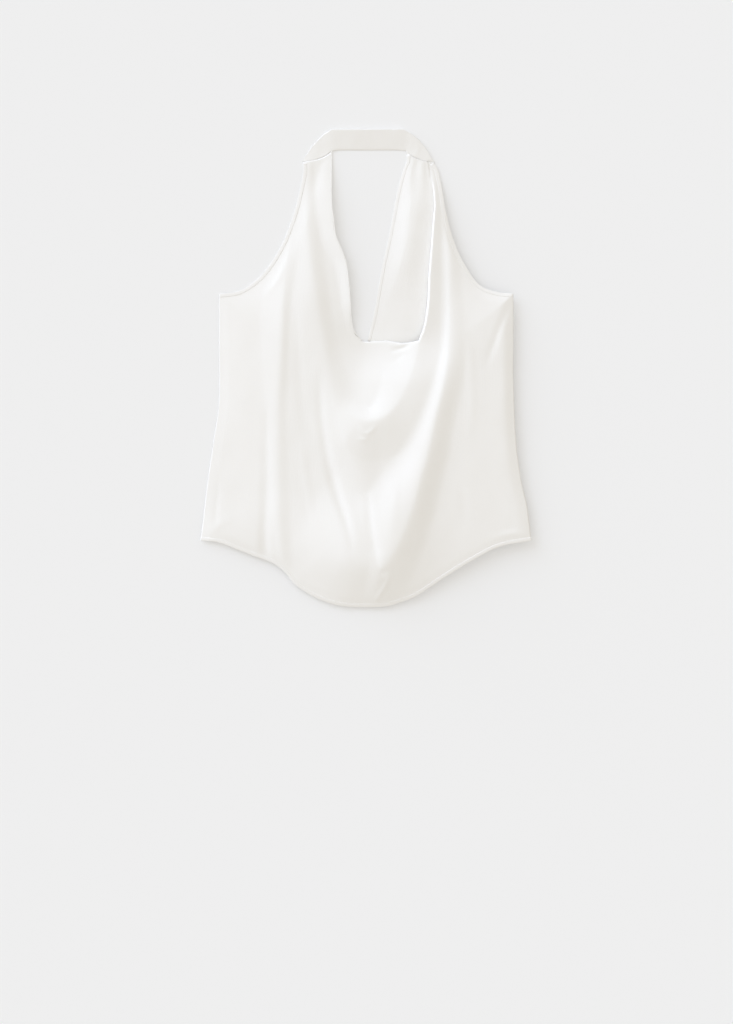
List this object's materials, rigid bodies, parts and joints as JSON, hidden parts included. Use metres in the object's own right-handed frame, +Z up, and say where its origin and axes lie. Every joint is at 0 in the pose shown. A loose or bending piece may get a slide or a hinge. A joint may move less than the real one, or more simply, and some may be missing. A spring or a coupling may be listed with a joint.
{
  "type": "cowl neck halter blouse",
  "caption": "Satin halter blouse with a draped cowl neck, low back, neckband and curved hem, laid flat with its front up.",
  "frame": {"origin": "on the surface it lies on, under the middle of the garment's box", "axes": "+Y towards the neckband, +X to the right as seen from above, +Z up off the surface"},
  "size_m": [0.496, 0.7158, 0.0206],
  "materials": {
    "satin": "warm white satin with a soft sheen, finely woven"
  },
  "bodies": {
    "root": {"front": "satin", "cowl_facing": "satin", "back": "satin", "neckband": "satin"}
  },
  "joints": []
}
